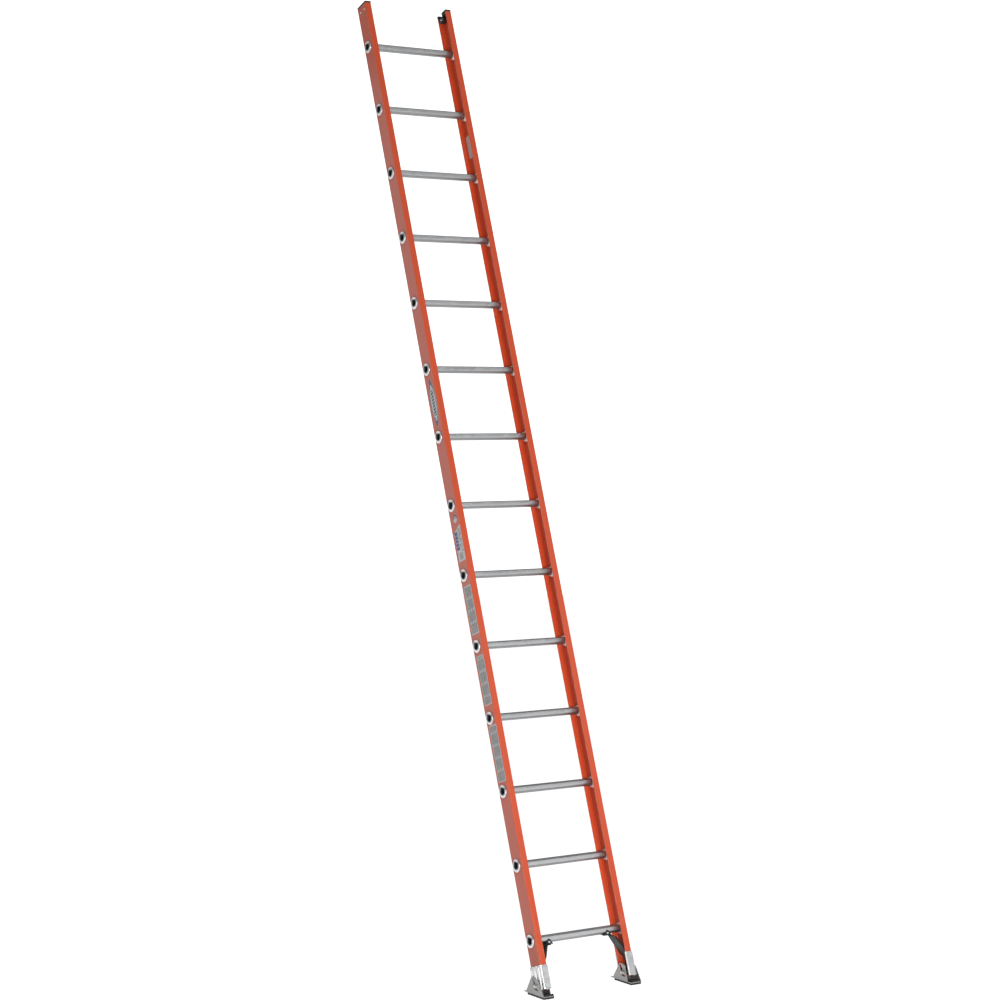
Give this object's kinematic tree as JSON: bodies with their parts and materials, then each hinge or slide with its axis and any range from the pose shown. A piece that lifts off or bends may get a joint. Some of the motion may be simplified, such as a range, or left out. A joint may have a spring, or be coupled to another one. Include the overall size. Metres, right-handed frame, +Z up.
{
  "type": "extension ladder base section",
  "caption": "Straight fibreglass-rail ladder section with level D-rungs, end caps, foot shields, rung braces and swivel shoes, leaning at its working angle.",
  "frame": {"origin": "on the floor, under the middle of the whole ladder's box", "axes": "+X across the rungs to the climber's right, +Y the way the ladder leans, +Z up"},
  "size_m": [0.4884, 1.437, 4.1881],
  "materials": {
    "fibreglass_orange": "satin pultruded fibreglass",
    "rung_aluminium": "mill finish, brushed along",
    "ring_aluminium": "pressed bright",
    "cap_plastic": "moulded",
    "rivet_metal": "plain",
    "boot_metal": "galvanised bright",
    "brace_black": "black powder coat",
    "pivot_steel": "zinc plated",
    "shoe_steel": "zinc plated, dull",
    "tread_rubber": "moulded",
    "pad_rivet_steel": "plain",
    "maker_print": "printed film",
    "rating_print": "printed film",
    "instruction_print": "printed film"
  },
  "bodies": {
    "ladder": {"left_rail": "fibreglass_orange", "right_rail": "fibreglass_orange", "rung_01": "rung_aluminium", "rung_02": "rung_aluminium", "rung_03": "rung_aluminium", "rung_04": "rung_aluminium", "rung_05": "rung_aluminium", "rung_06": "rung_aluminium", "rung_07": "rung_aluminium", "rung_08": "rung_aluminium", "rung_09": "rung_aluminium", "rung_10": "rung_aluminium", "rung_11": "rung_aluminium", "rung_12": "rung_aluminium", "rung_13": "rung_aluminium", "rung_14": "rung_aluminium", "left_outer_rings": "ring_aluminium", "right_outer_rings": "ring_aluminium", "left_inner_collars": "ring_aluminium", "right_inner_collars": "ring_aluminium", "left_top_cap": "cap_plastic", "right_top_cap": "cap_plastic", "cap_rivets": "rivet_metal", "boot_rivets": "rivet_metal", "brace_rivets": "rivet_metal", "left_boot": "boot_metal", "right_boot": "boot_metal", "left_brace": "brace_black", "right_brace": "brace_black", "maker_label": "maker_print", "rating_label": "rating_print", "size_label": "rating_print", "instruction_label_1": "instruction_print", "instruction_label_2": "instruction_print", "instruction_label_3": "instruction_print", "inner_label": "instruction_print"},
    "left_pivot": {"left_pivot_bolt": "pivot_steel", "left_pivot_spacer": "pivot_steel", "left_pivot_nut": "pivot_steel"},
    "left_shoe": {"left_shoe_bracket": "shoe_steel", "left_shoe_pad": "tread_rubber", "left_shoe_mat": "tread_rubber", "left_pad_rivets": "pad_rivet_steel"},
    "right_pivot": {"right_pivot_bolt": "pivot_steel", "right_pivot_spacer": "pivot_steel", "right_pivot_nut": "pivot_steel"},
    "right_shoe": {"right_shoe_bracket": "shoe_steel", "right_shoe_pad": "tread_rubber", "right_shoe_mat": "tread_rubber", "right_pad_rivets": "pad_rivet_steel"}
  },
  "joints": [
    {"name": "left_shoe_swivel", "type": "hinge", "parent": "ladder", "child": "left_pivot", "pos_m": [-0.212, -0.66046, 0.044], "axis": [1, 0, 0], "range_deg": [-35, 4]},
    {"name": "left_shoe_drop", "type": "slide", "parent": "left_pivot", "child": "left_shoe", "axis": [0, -0.6402, -0.7682], "range_m": [0, 0.0305]},
    {"name": "right_shoe_swivel", "type": "hinge", "parent": "ladder", "child": "right_pivot", "pos_m": [0.212, -0.66046, 0.044], "axis": [1, 0, 0], "range_deg": [-35, 4]},
    {"name": "right_shoe_drop", "type": "slide", "parent": "right_pivot", "child": "right_shoe", "axis": [0, -0.6402, -0.7682], "range_m": [0, 0.0305]}
  ]
}
